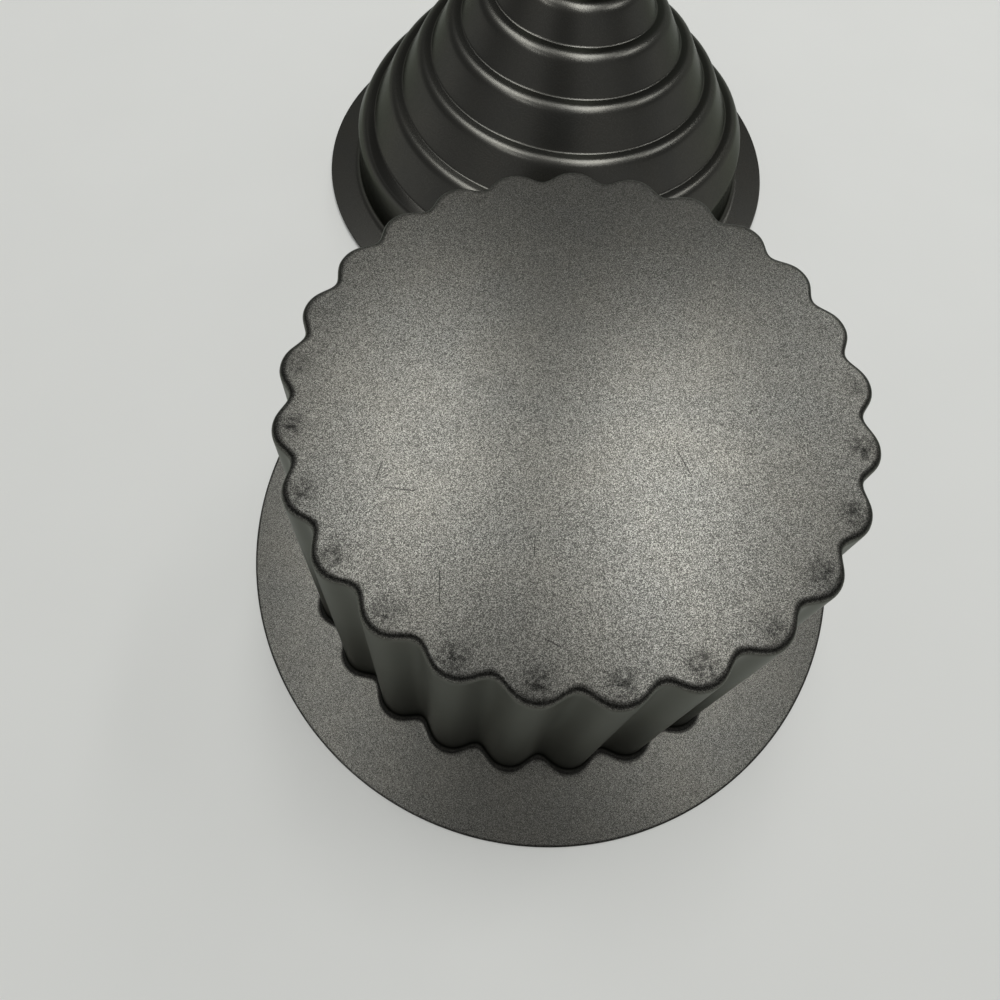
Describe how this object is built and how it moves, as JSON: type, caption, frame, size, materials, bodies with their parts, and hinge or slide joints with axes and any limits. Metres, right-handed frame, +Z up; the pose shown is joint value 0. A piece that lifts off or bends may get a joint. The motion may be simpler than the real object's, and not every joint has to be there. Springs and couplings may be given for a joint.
{
  "type": "giant cupcake pan",
  "caption": "Two-piece steel baking pan for a giant cupcake: a fluted cup pan and a spiral swirl top pan, each with a wide flat flange, standing mouth down side by side.",
  "frame": {"origin": "on the table, midway along the pair: the middle of the underside of the whole set's box", "axes": "+Z up from the table; +Y from the fluted cup pan towards the swirl top pan; +X to the right of someone who looks along +Y"},
  "size_m": [0.22, 0.4204, 0.099],
  "materials": {
    "cup_coating": "satin metallic non-stick coat with fine sparkle",
    "swirl_coating": "semi-gloss dark non-stick coat"
  },
  "bodies": {
    "cup_pan": {"fluted_cup_pan": "cup_coating"},
    "swirl_pan": {"swirl_top_pan": "swirl_coating"}
  },
  "joints": [
    {"name": "swirl_pan_lift", "type": "slide", "parent": "cup_pan", "child": "swirl_pan", "axis": [0, 0, 1], "range_m": [0, 0.12]}
  ]
}
